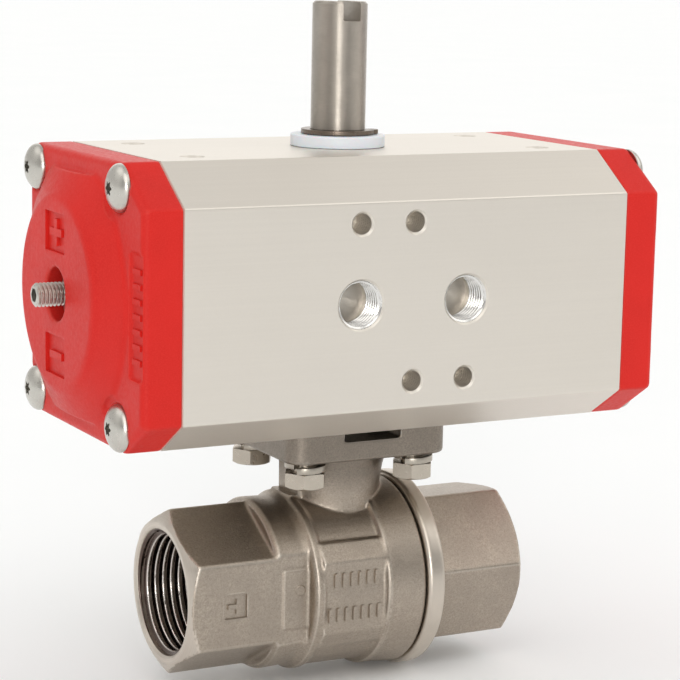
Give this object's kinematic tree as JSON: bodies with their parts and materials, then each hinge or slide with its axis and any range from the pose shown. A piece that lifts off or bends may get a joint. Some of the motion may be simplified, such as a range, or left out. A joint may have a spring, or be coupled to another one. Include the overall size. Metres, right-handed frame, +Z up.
{
  "type": "rotary pneumatic actuator with ball valve",
  "caption": "Rack-and-pinion quarter-turn air actuator with end caps and a slotted shaft, bolted on a two-piece threaded ball valve.",
  "frame": {"origin": "below the centre of the valve, where the pipe axis and the shaft axis cross, at the height of the valve's lowest point", "axes": "+X along the pipe and the actuator, towards the screwed-in end of the valve; the air ports face -Y; +Z up along the shaft"},
  "size_m": [0.1346, 0.0614, 0.1436],
  "materials": {
    "housing_aluminium": "satin",
    "cap_coating": "satin",
    "gasket_rubber": "matte",
    "fastener_steel": "satin",
    "shaft_steel": "satin",
    "spring_steel": "satin",
    "white_plastic": "satin",
    "bearing_plastic": "matte",
    "piston_aluminium": "matte",
    "valve_casting": "rough",
    "ball_steel": "polished",
    "valve_steel": "satin",
    "seat_ptfe": "matte"
  },
  "bodies": {
    "housing": {"actuator_body": "housing_aluminium", "left_end_cap": "cap_coating", "right_end_cap": "cap_coating", "left_cap_gasket": "gasket_rubber", "right_cap_gasket": "gasket_rubber", "left_cap_screws": "fastener_steel", "right_cap_screws": "fastener_steel", "left_lock_nut": "fastener_steel", "right_lock_nut": "fastener_steel", "left_screw_seal": "gasket_rubber", "right_screw_seal": "gasket_rubber", "upper_shaft_bush": "bearing_plastic", "lower_shaft_bush": "bearing_plastic", "shaft_spacer_ring": "white_plastic", "valve_body": "valve_casting", "valve_retainer": "valve_casting", "body_gasket": "seat_ptfe", "left_seat": "seat_ptfe", "right_seat": "seat_ptfe", "stem_thrust_washer": "seat_ptfe", "stem_packing": "seat_ptfe", "gland_ring": "valve_steel", "disc_springs": "spring_steel", "flange_bolts": "fastener_steel", "lock_washers": "fastener_steel"},
    "pinion": {"pinion_shaft": "shaft_steel", "shaft_circlip": "spring_steel", "upper_shaft_o_ring": "gasket_rubber", "lower_shaft_o_ring": "gasket_rubber"},
    "left_piston_body": {"left_piston": "piston_aluminium", "left_piston_o_ring": "gasket_rubber", "left_guide_ring": "bearing_plastic", "left_rack_pad": "bearing_plastic"},
    "right_piston_body": {"right_piston": "piston_aluminium", "right_piston_o_ring": "gasket_rubber", "right_guide_ring": "bearing_plastic", "right_rack_pad": "bearing_plastic"},
    "stem": {"valve_stem": "valve_steel", "stem_nut": "valve_steel"},
    "ball": {"valve_ball": "ball_steel"},
    "left_stop": {"left_stroke_screw": "fastener_steel"},
    "right_stop": {"right_stroke_screw": "fastener_steel"}
  },
  "joints": [
    {"name": "left_piston_slide", "type": "slide", "parent": "housing", "child": "left_piston_body", "axis": [-1, 0, 0], "range_m": [0, 0.01414]},
    {"name": "right_piston_slide", "type": "slide", "parent": "housing", "child": "right_piston_body", "axis": [1, 0, 0], "range_m": [0, 0.0142]},
    {"name": "shaft_turn", "type": "hinge", "parent": "housing", "child": "pinion", "pos_m": [0, 0, 0.0572], "axis": [0, 0, 1], "range_deg": [0, 90]},
    {"name": "stem_turn", "type": "hinge", "parent": "housing", "child": "stem", "pos_m": [0, 0, 0.0572], "axis": [0, 0, 1], "range_deg": [0, 90]},
    {"name": "ball_turn", "type": "hinge", "parent": "housing", "child": "ball", "pos_m": [0, 0, 0.0212], "axis": [0, 0, 1], "range_deg": [0, 90]},
    {"name": "left_stroke_adjust", "type": "slide", "parent": "housing", "child": "left_stop", "axis": [-1, 0, 0], "range_m": [-0.001, 0.003]},
    {"name": "right_stroke_adjust", "type": "slide", "parent": "housing", "child": "right_stop", "axis": [1, 0, 0], "range_m": [-0.001, 0.003]}
  ],
  "couplings": [
    {"joint": "right_piston_slide", "follows": "left_piston_slide", "ratio": 1},
    {"joint": "shaft_turn", "follows": "left_piston_slide", "rad_per_m": 111.11},
    {"joint": "stem_turn", "follows": "left_piston_slide", "rad_per_m": 111.11},
    {"joint": "ball_turn", "follows": "left_piston_slide", "rad_per_m": 111.11}
  ]
}
